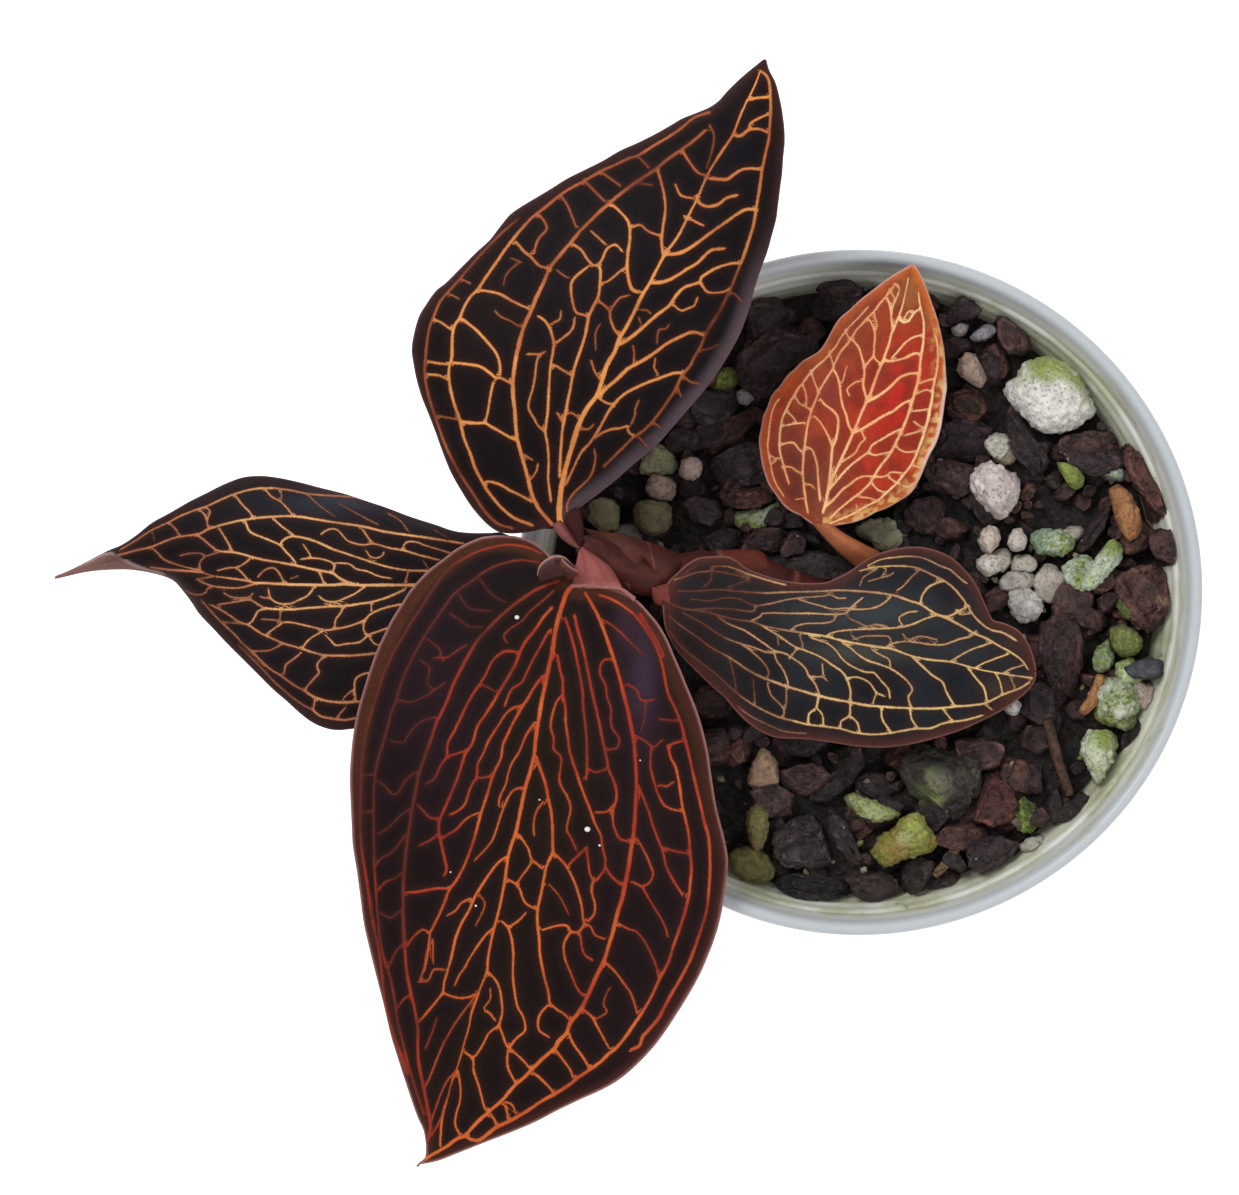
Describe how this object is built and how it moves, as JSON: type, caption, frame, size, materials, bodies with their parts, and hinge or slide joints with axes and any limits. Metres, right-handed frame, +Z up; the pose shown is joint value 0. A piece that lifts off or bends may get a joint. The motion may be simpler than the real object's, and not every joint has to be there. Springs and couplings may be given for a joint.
{
  "type": "jewel orchid",
  "caption": "Jewel orchid with velvety dark leaves and netted gold veins, creeping over a bark and pumice mix in a round white nursery pot.",
  "frame": {"origin": "centre of the pot's underside, on the surface that it stands on", "axes": "+Z up along the pot's axis; +X to the side of the rooted end of the rhizome, the three large leaves reach out over the rim to -X"},
  "size_m": [0.1687, 0.1605, 0.1073],
  "materials": {
    "pot_plastic": "satin white, algae-tinted inside",
    "potting_mix": "dark, damp, crumbly",
    "bark_chip": "dark, damp bark",
    "pumice_stone": "matte, porous, green algae",
    "dry_husk": "dry, fibrous",
    "root": "matte, woolly",
    "stem": "smooth, waxy",
    "leaf_velvet": "velvety, gold and copper veins",
    "leaf_red": "velvety, peach veins"
  },
  "bodies": {
    "root": {"bark_01": "bark_chip", "bark_02": "bark_chip", "bark_03": "bark_chip", "bark_04": "bark_chip", "bark_05": "bark_chip", "bark_06": "bark_chip", "bark_07": "bark_chip", "bark_08": "bark_chip", "bark_09": "bark_chip", "bark_10": "bark_chip", "bark_11": "bark_chip", "bark_13": "bark_chip", "bark_14": "bark_chip", "bark_15": "bark_chip", "bark_16": "bark_chip", "bark_17": "bark_chip", "bark_18": "bark_chip", "bark_19": "bark_chip", "bark_20": "bark_chip", "bark_21": "bark_chip", "bark_23": "bark_chip", "bark_24": "bark_chip", "bark_25": "bark_chip", "bark_26": "bark_chip", "bark_27": "bark_chip", "bark_28": "bark_chip", "bark_29": "bark_chip", "bark_30": "bark_chip", "dry_root": "root", "leaf_bud": "leaf_red", "leaf_left": "leaf_velvet", "leaf_lower": "leaf_velvet", "leaf_red": "leaf_red", "leaf_right": "leaf_velvet", "leaf_upper": "leaf_velvet", "pot": "pot_plastic", "potting_mix": "potting_mix", "pumice_01": "pumice_stone", "pumice_02": "pumice_stone", "pumice_03": "pumice_stone", "pumice_04": "pumice_stone", "pumice_05": "pumice_stone", "pumice_06": "pumice_stone", "pumice_07": "pumice_stone", "pumice_08": "pumice_stone", "pumice_09": "pumice_stone", "pumice_10": "pumice_stone", "pumice_11": "pumice_stone", "pumice_12": "pumice_stone", "pumice_13": "pumice_stone", "pumice_14": "pumice_stone", "pumice_15": "pumice_stone", "pumice_16": "pumice_stone", "rhizome": "stem", "root_01": "root", "root_02": "root", "shell_tan_01": "dry_husk", "shell_tan_02": "dry_husk", "stick": "dry_husk"}
  },
  "joints": []
}
